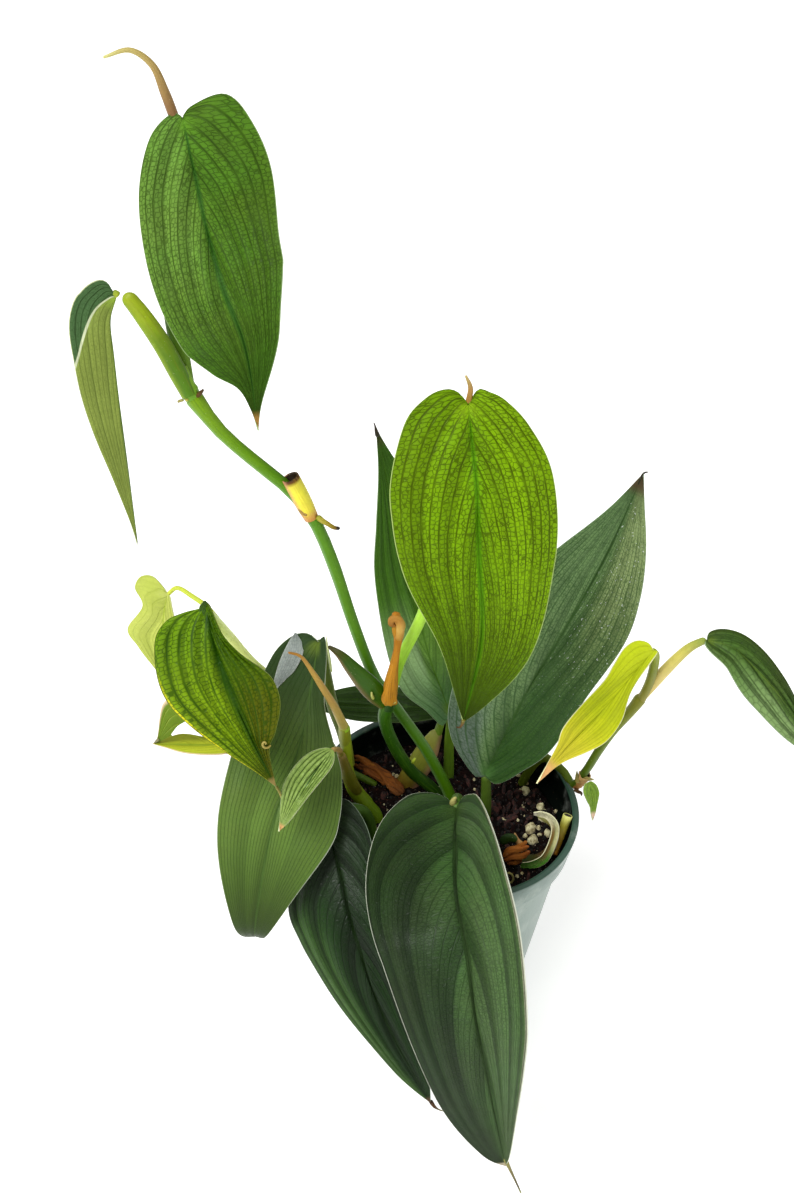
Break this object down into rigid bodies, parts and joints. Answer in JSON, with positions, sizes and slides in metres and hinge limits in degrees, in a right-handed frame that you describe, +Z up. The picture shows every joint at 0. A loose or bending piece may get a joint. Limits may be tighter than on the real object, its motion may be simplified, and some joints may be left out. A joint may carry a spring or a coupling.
{
  "type": "potted philodendron",
  "caption": "Climbing philodendron with heart-shaped leaves on long petioles, rooted in dark potting mix in a small round tapered nursery pot.",
  "frame": {"origin": "centre of the pot's flat base, on the surface that it stands on", "axes": "+Z up along the pot's axis; the front leaves hang towards -Y, the long stem climbs towards -X and the right leaf reaches towards +X"},
  "size_m": [0.2804, 0.1744, 0.3703],
  "materials": {
    "leaf_dark": "satin dark green leaf with a silvery sheen",
    "leaf_mid": "satin mid green leaf",
    "leaf_bright": "satin bright yellow-green leaf with darker veins",
    "leaf_lime": "satin lime-yellow young leaf",
    "leaf_pale": "thin pale lime leaf",
    "stem_green": "smooth green stem",
    "stem_lime": "smooth lime-green petiole",
    "stem_olive": "smooth olive stem",
    "sheath_pale": "pale yellow sheath with a brown rim",
    "sheath_dry": "dried, wrinkled orange-brown sheath",
    "new_leaf": "rolled pinkish-tan new leaf",
    "soil": "dark potting mix with pale grains",
    "pot": "satin green moulded plastic"
  },
  "bodies": {
    "root": {"leaf_top": "leaf_mid", "leaf_far_left": "leaf_mid", "leaf_centre": "leaf_bright", "leaf_back": "leaf_dark", "leaf_right_large": "leaf_dark", "leaf_low_back": "leaf_dark", "leaf_left_large": "leaf_dark", "leaf_left_bright": "leaf_bright", "leaf_left_pale": "leaf_pale", "leaf_left_folded": "leaf_lime", "leaf_left_small": "leaf_pale", "leaf_front_left": "leaf_dark", "leaf_front": "leaf_dark", "leaf_right_young": "leaf_lime", "leaf_right_dark": "leaf_dark", "leaf_right_tiny": "leaf_mid", "stem_long": "stem_green", "sheath_long": "sheath_pale", "petiole_top": "stem_green", "petiole_far_left": "stem_lime", "new_leaf_top": "new_leaf", "stem_centre": "stem_green", "petiole_centre": "stem_lime", "sheath_dry": "sheath_dry", "sheath_green": "stem_green", "new_leaf_centre": "new_leaf", "petiole_back": "stem_lime", "petiole_right_large": "stem_olive", "petiole_low_back": "stem_lime", "sheath_low_back": "stem_olive", "stem_left": "stem_olive", "sheath_left": "stem_olive", "sheath_lime": "stem_lime", "new_leaf_left": "new_leaf", "petiole_left_large": "stem_olive", "shoot_left": "stem_lime", "petiole_left_bright": "stem_lime", "petiole_left_pale": "stem_lime", "petiole_left_folded": "stem_lime", "petiole_left_small": "new_leaf", "petiole_front_left": "stem_green", "petiole_front": "stem_green", "stem_right": "stem_green", "collar_right": "sheath_dry", "petiole_right_young": "stem_olive", "petiole_right_dark": "sheath_pale", "sprout": "stem_lime", "sprout_petiole": "sheath_pale", "sheath_on_soil": "sheath_dry", "pot": "pot", "soil": "soil"}
  },
  "joints": []
}
